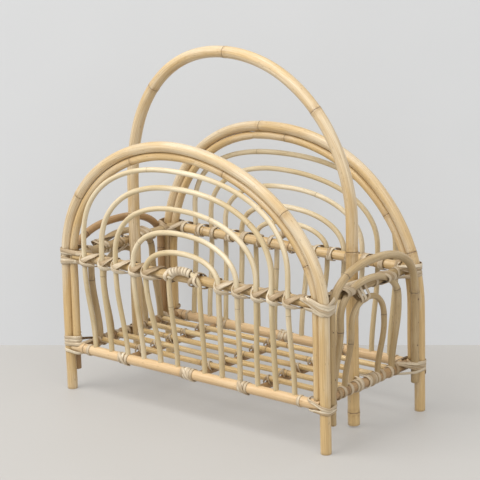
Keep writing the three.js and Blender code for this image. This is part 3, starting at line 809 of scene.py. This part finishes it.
def wind(stock, place, turns, seed, wide=4.4 * mm, thick=0.9 * mm, tone=0.35):
    """Winds strips round bundles of poles.  Each turn has its bundle, its lift over what lies
    below, and stations: the direction it faces, its height there and how far its face tips up."""
    for number, (poles, lift, stations) in enumerate(turns):
        ring = tight_line(poles, lift)
        lengths = [0.0]
        for a, b in zip(ring, ring[1:] + ring[:1]):
            lengths.append(lengths[-1] + (b[0] - a[0]).length)
        whole = lengths[-1]
        marks = []
        for station in stations:
            laps = math.floor(station[0] / 360)
            start = laps * whole + lengths[int((station[0] - laps * 360) * 2) % 720]
            marks.append((start, station[1], math.radians(station[2]) if len(station) > 2 else 0.0))
        points = []
        outward = []
        count = max(int((marks[-1][0] - marks[0][0]) / (1.0 * mm)), 8)
        j = 0
        for i in range(count + 1):
            s = marks[0][0] + (marks[-1][0] - marks[0][0]) * i / count
            k = max(m for m in range(len(marks) - 1) if marks[m][0] <= s + 1e-9)
            t = clamped((s - marks[k][0]) / max(marks[k + 1][0] - marks[k][0], 1e-9))
            ease = t * t * (3 - 2 * t) * 0.5 + t * 0.5
            height = marks[k][1] + (marks[k + 1][1] - marks[k][1]) * ease
            tip = marks[k][2] + (marks[k + 1][2] - marks[k][2]) * ease
            lap = s % whole
            if lap < lengths[j]:
                j = 0
            while j < 719 and lengths[j + 1] < lap:
                j += 1
            span = max(lengths[j + 1] - lengths[j], 1e-9)
            here = ring[j][0].lerp(ring[(j + 1) % 720][0], (lap - lengths[j]) / span)
            faces = ring[j][1] * math.cos(tip)
            points.append(place(here.x, here.y, height * mm))
            ahead = place(here.x + faces.x, here.y + faces.y, height * mm + math.sin(tip))
            outward.append((ahead - points[-1]).normalized())
        add_strip(stock, points, outward, wide, thick, seed + number * 7,
                  tone=tone + 0.16 * math.sin(seed + number * 2.1))
    return stock


def panel_turn(reach, end_reach, inner=True):
    """The bundle at a corner: hoop leg, end arch leg, and a bight of each rail."""
    bundle = [(Vector((leg_x, -panel_y)), hoop_radius),
              (Vector((leg_x, -outer_arch_y)), outer_arch_radius),
              (Vector((leg_x - reach * mm, -panel_y)), 5.4 * mm),
              (Vector((end_x, -panel_y + end_reach * mm)), 5.4 * mm)]
    if inner:
        bundle.append((Vector((leg_x - hoop_radius - inner_radius, -panel_y)), inner_radius + 0.6 * mm))
    return bundle


legs_only = [(Vector((leg_x, -panel_y)), hoop_radius), (Vector((leg_x, -outer_arch_y)), outer_arch_radius),
             (Vector((leg_x - hoop_radius - inner_radius, -panel_y)), inner_radius + 0.6 * mm)]


def slanted(k):
    """A strip from the top of the side rail down across the legs, round and under the end rail."""
    low = -9.6 + 2.9 * k
    return (panel_turn(24.0 - 3.4 * k, 19.0), (0.5 + 0.25 * (k % 2)) * mm,
            ((120, -3.0, 0), (180, 6.5, 80), (258, 4.4 + 0.3 * k, 20), (300, low + 2.2, 0), (345, low, 0),
             (420, -6.0, -30), (450, -6.4, -75), (500, 0.0, 0)))


def rising(k):
    """A strip from under the side rail, across the legs and up over the end rail."""
    return (panel_turn(18.5 - 2.8 * k, 19.0 - 3.0 * k), 0.2 * mm,
            ((120, 3.0, 0), (180, -6.4, -80), (258, -5.4, -20), (300, -7.4 - 1.8 * k, 0),
             (350, -2.2 + 3.0 * k, 0), (425, 5.6, 40), (450, 6.6, 78), (505, -1.0, 0)))


def upper_arm(k, reach=24.0):
    """The upper side of an open loop, which keeps above the middle of the rail end."""
    return (panel_turn(reach - 3.4 * k, 19.0 - 3.0 * k), (0.3 + 0.2 * k) * mm,
            ((120, 0.0, 0), (180, 6.4, 80), (258, 5.2, 20), (300, 3.6 + 2.2 * k, 0), (345, 2.0 + 3.6 * k, 0),
             (425, 5.6 + k, 40), (450, 6.6, 78), (510, -2.0, 0)))


def lower_arm(k, reach=24.0):
    """The lower side of an open loop, which keeps below the middle of the rail end."""
    return (panel_turn(reach - 3.4 * k, 19.0 - 3.0 * k), (0.3 + 0.2 * k) * mm,
            ((120, 0.0, 0), (180, -6.4, -80), (258, -5.4, -20), (300, -4.0 - 2.4 * k, 0),
             (345, -2.2 - 3.6 * k, 0), (425, -5.6, -40), (450, -6.6, -78), (510, 2.0, 0)))


def level_band(height):
    """A level strip round the legs alone."""
    return (legs_only, 0.3 * mm, ((140, height), (230, height + 0.4), (310, height - 1.2),
                                  (400, height), (490, height + 1.0)))


def thin_slant(k):
    """A narrow strip from the top of the side rail down across the leg and over the end rail."""
    return (panel_turn(15.5 - 2.0 * k, 16.0 - 2.6 * k, False), (0.4 + 0.2 * k) * mm,
            ((150, 3.0, 0), (180, 6.5, 80), (258, 4.8 - k, 10), (292, 0.2 - 1.8 * k, 0),
             (345, -2.0 - 2.0 * k, 0), (400, -1.0, 0), (430, 5.0, 40), (450, 6.4, 80), (500, 0.0, 0)))


def thin_level(k):
    """A narrow strip that stays under both rails and crosses the leg almost level."""
    return (panel_turn(14.5 - 2.0 * k, 16.0, False), 0.3 * mm,
            ((150, -3.0, 0), (180, -6.5, -80), (258, -5.6, -20), (292, -4.6 - 1.8 * k, 0),
             (345, -5.4 - 1.8 * k, 0), (430, -6.0, -40), (450, -6.4, -80), (500, 0.0, 0)))


corner_turns = {
    ("front", "right", "mid"): [rising(0), rising(1), slanted(0), slanted(1), slanted(2), slanted(3)],
    ("front", "left", "mid"): [lower_arm(0), lower_arm(1), lower_arm(2), upper_arm(0), upper_arm(1)],
    ("back", "right", "mid"): [lower_arm(0), lower_arm(1), rising(0), upper_arm(0), upper_arm(1)],
    ("back", "left", "mid"): [rising(0), lower_arm(1), upper_arm(0), upper_arm(1)],
    ("front", "right", "bottom"): [thin_level(0), thin_level(1), thin_slant(0), thin_slant(1)],
    ("front", "left", "bottom"): [level_band(12.4), level_band(8.4), level_band(4.2),
                                  lower_arm(0, 14.0), upper_arm(0, 14.0)],
    ("back", "right", "bottom"): [lower_arm(0, 15.0), rising(1), rising(0),
                                  upper_arm(1, 15.0), upper_arm(0, 15.0)],
    ("back", "left", "bottom"): [level_band(8.6), lower_arm(0), rising(0)],
}
lash_wide = {("front", "right", "bottom"): 3.2, ("front", "left", "mid"): 5.4, ("back", "left", "mid"): 5.4}
for (side_name, end_name, rail), turns in corner_turns.items():
    sy = -1 if side_name == "front" else 1
    sx = 1 if end_name == "right" else -1
    height = mid_z if rail == "mid" else bottom_z

    shape = hoop_shapes[side_name]
    line = arch_line(leg_x, shape["spring"], shape["top"], 0.0, shape["fullness"], arch_drift)
    slip = leg_x - abs(min((p for p in line if p[0] * sx > 0), key=lambda p: abs(p[1] - height))[0])

    def corner(x, y, z, sx=sx, sy=sy, height=height, slip=slip):
        share = clamped((x - 177 * mm) / (10 * mm))
        return Vector((sx * (x - slip * share), -sy * y, height + z))

    wide = lash_wide.get((side_name, end_name, rail), 4.3) * mm
    stock = wind(fresh_stock(), corner, turns, seed=200 + 10 * sx + 3 * sy + len(rail), wide=wide,
                 tone=0.1 if sy < 0 else 0.35)
    make_piece(f"{side_name}_{end_name}_{rail}_lashing_strips", stock, (cane_strip,), "cane",
               f"{side_name}_{end_name}_{rail}_lashing")


# ---- Bindings on the bottom rails ------------------------------------------------------
# The floor bars are tied to the bottom rails with three or four tight turns of strip under one
# slanting turn, and a single turn closes each rail near its ends.
bindings = {
    1: ((-106.5, 0.0), (-101.5, 0.8), (-96.5, -0.5)),
    2: ((-10.5, 0.5), (-6.0, -0.4), (-1.5, 0.6), (3.2, 0.0)),
    3: ((73.5, 0.3), (78.0, -0.3), (82.6, 0.2)),
}
for side_name, sign in (("front", -1), ("back", 1)):
    for k, turns in bindings.items():
        def on_rail(y, z, x, sign=sign):
            return Vector((x, -sign * y, bottom_z + z))

        rail_pole = [(Vector((-panel_y, 0.0)), bottom_radius)]
        stock = fresh_stock()
        laps = []
        for n, (x, slant) in enumerate(turns):
            laps.append((rail_pole, (0.1 + 0.25 * (n % 2)) * mm,
                         ((60, x - slant - 0.8), (180, x), (300, x + slant + 0.6), (424, x + 1.4))))
        if k == 2:
            laps.append((rail_pole, 0.9 * mm, ((100, -12.0), (180, -4.0), (260, 4.6), (330, 6.0))))
        else:
            laps.append((rail_pole, 0.9 * mm,
                         ((100, turns[0][0] - 3.0), (180, turns[1][0]), (265, turns[-1][0] + 2.6))))
        wind(stock, on_rail, laps, seed=300 + 5 * k + sign, wide=4.6 * mm, tone=0.02)
        if k != 2:
            x = -157.0 if k == 1 else 156.7
            wind(stock, on_rail, ((rail_pole, 0.1 * mm, ((30, x - 0.6), (180, x), (390, x + 0.9))),),
                 seed=340 + k + sign, wide=4.6 * mm, tone=0.05)
        make_piece(f"{side_name}_bar_binding_{k}_strips", stock, (cane_strip,), "cane",
                   f"{side_name}_bar_binding_{k}")


# ---- Lacing and ties on the end frames -------------------------------------------------
# The arches of the ends are bound to their mid rails with slanting turns, the bottom rails are
# wound with single turns, and two crossed strips tie each handle leg to the bottom rail.
for end_name, sign in (("right", 1), ("left", -1)):
    def on_mid(x, z, y, sign=sign):
        return Vector((sign * x, y, mid_z + z))

    def on_bottom(x, z, y, sign=sign):
        return Vector((sign * x, y, bottom_z + z))

    rail_only = [(Vector((end_x, 0.0)), end_radius)]
    stock = fresh_stock()
    with_middle = [(Vector((end_x, 0.0)), end_radius), (Vector((end_x + 9.9 * mm, 3.0 * mm)), 4.1 * mm)]
    laps = []
    for n, y in enumerate((-43.5, -38.6, -33.8, 30.5, 35.6, 40.4)):
        laps.append((with_middle, (0.4 + 0.5 * (n % 2)) * mm,
                     ((-170, y + 1.4), (-80, y + 4.2), (0, y + 1.6), (80, y - 3.4), (175, y - 4.0))))
    wind(stock, on_mid, laps, seed=400 + sign, wide=5.4 * mm, thick=1.1 * mm, tone=0.3)
    lying = ((-50.0, 6.4, 4.2), (-44.0, 5.2, 7.2), (-34.0, 4.6, 8.2), (-22.0, 4.0, 8.0),
             (-10.0, 4.2, 7.4), (-2.0, 4.6, 6.2))
    spots = [Vector((sign * (end_x + out * mm), y * mm, mid_z + z * mm)) for y, out, z in lying]
    points = ease_through(spots, 8)
    outward = ease_through([Vector((sign * 0.55, 0.0, 0.83)) for k in lying], 8)
    add_strip(stock, points, outward, 5.6 * mm, 1.0 * mm, 415 + sign, tone=0.2)
    with_inner = [(Vector((end_x, 0.0)), end_radius), (Vector((end_x + 9.6 * mm, -10.5 * mm)), 3.4 * mm)]
    laps = []
    for y in (-14.0, -8.4):
        laps.append((with_inner, 0.4 * mm, ((-170, y + 3.4), (-90, y + 1.0), (0, y - 2.4),
                                            (90, y - 4.0), (185, y - 2.0))))
    laps.append((with_inner, 1.0 * mm, ((-150, y - 7.0), (-60, y - 4.0), (30, y + 4.5), (120, y + 6.0))))
    for y in (-66.0, 21.0, 62.0):
        laps.append((rail_only, 0.2 * mm, ((-170, y - 1.0), (0, y), (184, y + 1.2))))
    wind(stock, on_mid, laps, seed=430 + sign, wide=4.8 * mm, thick=1.0 * mm, tone=0.3)
    make_piece(end_name + "_end_lacing_strips", stock, (cane_strip,), "cane", end_name + "_end_lacing")

    stock = fresh_stock()
    laps = []
    for n, y in enumerate((-14.0, -9.6, 9.4, 13.8, 18.0)):
        laps.append((rail_only, (0.2 + 0.6 * (n % 2)) * mm, ((-176, y - 1.2), (0, y), (180, y + 1.2))))
    for y in (-58.5, -46.5, -38.0, -26.0, 24.0, 33.0, 48.5, 59.5):
        laps.append((rail_only, 0.2 * mm, ((-176, y - 1.4), (0, y), (180, y + 1.4))))
    wind(stock, on_bottom, laps, seed=460 + sign, wide=5.2 * mm, thick=1.1 * mm, tone=0.45)
    leg_and_rail = [(Vector((end_x, 0.0)), end_radius), (Vector((handle_x, 0.0)), handle_radius)]
    laps = [
        (leg_and_rail, 0.5 * mm, ((-180, 9.0), (-90, 4.0), (0, -7.0), (90, -2.0), (180, 9.0))),
        (leg_and_rail, 0.9 * mm, ((-180, -9.0), (-90, -4.0), (0, 7.0), (90, 2.0), (180, -9.0))),
    ]
    wind(stock, on_bottom, laps, seed=480 + sign, wide=4.0 * mm, tone=0.3)
    make_piece(end_name + "_handle_tie_strips", stock, (cane_strip,), "cane", end_name + "_handle_tie")


# ---- Ties on the floor -----------------------------------------------------------------
# A thin strip crosses over each slat where it lies on a bar and is knotted below.
stock = fresh_stock()
for b in range(1, 4):
    bar_x = middle_of(f"floor_bar_{b}", 0)
    for s in range(1, 6):
        slat_y = middle_of(f"floor_slat_{s}", 1)
        slat_z = middle_of(f"floor_slat_{s}", 2)

        def over_slat(y, z, x, bar_x=bar_x, slat_y=slat_y, slat_z=slat_z):
            return Vector((bar_x + x, slat_y + y, slat_z + z))

        slat_and_bar = [(Vector((0.0, 0.0)), slat_radius), (Vector((0.0, -2.5 * mm)), slat_radius)]
        laps = ((slat_and_bar, 0.1 * mm, ((-60, 5.5), (90, 0.4), (240, -5.5))),
                (slat_and_bar, 0.5 * mm, ((-60, -5.0), (90, 0.2), (240, 5.0))))
        wind(stock, over_slat, laps, seed=500 + b * 9 + s, wide=2.6 * mm, thick=0.6 * mm, tone=0.3)
make_piece("floor_ties", stock, (cane_strip,), "cane")


# ---- Pins ------------------------------------------------------------------------------
# Short wire nails pin the outer end arches to the hoop legs.  Their small dark heads sit in
# the cane, a little rusty.
nail_steel, pin_tree, pin_surface = new_finish("rusty_pin")
pin_run = add_node(pin_tree, "ShaderNodeAttribute", -900, 0, attribute_name="grain_run")
rust = cloudy(pin_tree, -700, 0, pin_run.outputs["Vector"], 2400.0)
rust_mask = ramp(pin_tree, -500, 0, rust, 0.35, 0.65)
feed(pin_tree, tint(pin_tree, -250, 100, rust_mask, (0.09, 0.075, 0.06), (0.13, 0.06, 0.03)),
     pin_surface.inputs["Base Color"])
feed(pin_tree, ramp(pin_tree, -250, -100, rust_mask, 0.0, 1.0, 0.45, 0.85), pin_surface.inputs["Roughness"])
feed(pin_tree, ramp(pin_tree, -250, -300, rust_mask, 0.0, 1.0, 0.9, 0.2), pin_surface.inputs["Metallic"])


def add_pin(stock, centre, facing, radius, seed):
    """A low domed nail head."""
    across = facing.cross(Vector((0, 0, 1))).normalized()
    over = facing.cross(across)
    first = len(stock["points"])
    for share, rise in ((1.0, -0.8), (1.0, 0.05), (0.85, 0.28), (0.45, 0.42)):
        for k in range(12):
            a = math.pi * 2 * k / 12
            ring_point = across * math.cos(a) + over * math.sin(a)
            stock["points"].append(centre + ring_point * radius * share + facing * rise * mm)
            stock["grain"].append(ring_point * radius * share + Vector((seed, seed, rise * mm)))
            stock["ring"].append(1.0)
            stock["tone"].append(0.5)
    close_round(stock, first, 4, 12, -1)
    stock["faces"].append(tuple(first + k for k in range(12)))
    stock["faces"].append(tuple(first + 36 + k for k in reversed(range(12))))
    stock["skins"] += [0, 0]


pin_x = leg_x + outer_arch_radius + 0.35 * mm
stock = fresh_stock()
for sx in (1, -1):
    for sy in (1, -1):
        for n, z in enumerate((134.0, 107.0, 81.0)):
            off_line = (0.8 - n * 0.5) * mm
            place = Vector((sx * pin_x, sy * (outer_arch_y + off_line), z * mm))
            add_pin(stock, place, Vector((sx, 0, 0)), 1.5 * mm, n + 3 * sx + 5 * sy)
make_piece("arch_pins", stock, (nail_steel,), "end_pole")


# ---- Table, backdrop and light ---------------------------------------------------------
# The rack stands on a plain pale table in front of a plain pale backdrop, in soft light from
# a large window to the left and above, with a weak fill from the right.
look_at = Vector((1.53, 1.30, 190.5)) * mm
stand_back = 2258.3 * mm
yaw = 0.70268
pitch = 0.24856
roll = -0.02545
back = Vector((math.sin(yaw) * math.cos(pitch), -math.cos(yaw) * math.cos(pitch), math.sin(pitch)))
right = Vector((math.cos(yaw), math.sin(yaw), 0))
up = back.cross(right)
right_rolled = right * math.cos(roll) + up * math.sin(roll)
up_rolled = up * math.cos(roll) - right * math.sin(roll)

camera = bpy.data.objects.new("camera", bpy.data.cameras.new("camera"))
bpy.context.scene.collection.objects.link(camera)
camera.data.sensor_width = 36
camera.data.lens = 148.57
turned = Matrix((right_rolled, up_rolled, back)).transposed().to_4x4()
camera.matrix_world = Matrix.Translation(look_at + back * stand_back) @ turned
bpy.context.scene.camera = camera


def pale_finish(name, grain, low, high, glow_low, glow_high, strength):
    """A plain pale surface with a faint cloud in its colour and a little light of its own, a glow that is
    painted light lifting the shadows cast on it.
    """
    finish, tree, surface = new_finish(name)
    place = add_node(tree, "ShaderNodeTexCoord", -900, 0)
    cloud = cloudy(tree, -700, 0, place.outputs["Object"], grain)
    feed(tree, tint(tree, -400, 0, cloud, low, high), surface.inputs["Base Color"])
    feed(tree, tint(tree, -400, -400, cloud, glow_low, glow_high), surface.inputs["Emission Color"])
    surface.inputs["Emission Strength"].default_value = strength
    return finish, tree, surface, cloud


pale_table, table_tree, table_surface, cloud = pale_finish(
    "pale_table", 3.0, (0.255, 0.245, 0.23), (0.28, 0.27, 0.255),
    (0.93, 0.91, 0.88), (0.97, 0.95, 0.92), 0.24)
feed(table_tree, ramp(table_tree, -400, -200, cloud, 0.0, 1.0, 0.5, 0.6), table_surface.inputs["Roughness"])

# The wall stands just behind the rack, level across the view, and is open from behind.
pale_wall, wall_tree, wall_surface, _ = pale_finish(
    "pale_wall", 5.0, (0.25, 0.255, 0.26), (0.28, 0.285, 0.29), (0.94, 0.95, 0.96), (0.98, 0.99, 1.0), 0.40)
wall_surface.inputs["Roughness"].default_value = 0.85
seen_from_behind = add_node(wall_tree, "ShaderNodeNewGeometry", 0, 300)
clear = add_node(wall_tree, "ShaderNodeBsdfTransparent", 0, -300)
one_sided = add_node(wall_tree, "ShaderNodeMixShader", 300, 100)
feed(wall_tree, seen_from_behind.outputs["Backfacing"], one_sided.inputs[0])
feed(wall_tree, wall_surface.outputs[0], one_sided.inputs[1])
feed(wall_tree, clear.outputs[0], one_sided.inputs[2])
feed(wall_tree, one_sided.outputs[0], wall_tree.nodes["Material Output"].inputs["Surface"])

flat_back = Vector((-math.sin(yaw), math.cos(yaw), 0))
edge_turn = math.radians(-4.85)
edge = right * math.cos(edge_turn) + flat_back * math.sin(edge_turn)
wall_foot = flat_back * 0.21
wall_top = Vector((0, 0, 1.6))
table_corners = [Vector((x * 5, y * 5, 0)) for x, y in ((-1, -1), (1, -1), (1, 1), (-1, 1))]
wall_corners = [wall_foot - edge * 2.5, wall_foot + edge * 2.5,
                wall_foot + edge * 2.5 + wall_top, wall_foot - edge * 2.5 + wall_top]
for name, finish, corners in (("table", pale_table, table_corners), ("wall", pale_wall, wall_corners)):
    sheet = bpy.data.meshes.new(name)
    sheet.from_pydata([tuple(c) for c in corners], [], [(0, 1, 2, 3)])
    sheet.materials.append(finish)
    piece = bpy.data.objects.new(name, sheet)
    bpy.context.scene.collection.objects.link(piece)

world = bpy.data.worlds.new("pale_backdrop")
bpy.context.scene.world = world
world.use_nodes = True
room = world.node_tree.nodes["Background"]
room.inputs["Color"].default_value = (1.0, 0.99, 0.97, 1)
room.inputs["Strength"].default_value = 0.8


def hang_light(name, direction, distance, size, power, colour):
    lamp = bpy.data.lights.new(name, "AREA")
    lamp.shape = "SQUARE"
    lamp.size = size
    lamp.energy = power
    lamp.color = colour
    made = bpy.data.objects.new(name, lamp)
    bpy.context.scene.collection.objects.link(made)
    made.location = look_at + direction.normalized() * distance
    made.rotation_mode = "QUATERNION"
    made.rotation_quaternion = (-direction).to_track_quat("-Z", "Y")


hang_light("window", back * 0.35 - right * 0.8 + Vector((0, 0, 1.15)), 2.8, 2.2, 78, (1.0, 0.985, 0.965))
hang_light("fill", back * 0.9 + right * 0.5 + Vector((0, 0, 0.6)), 3.0, 2.6, 22, (1.0, 0.99, 0.97))

bpy.context.scene.view_settings.view_transform = "Standard"
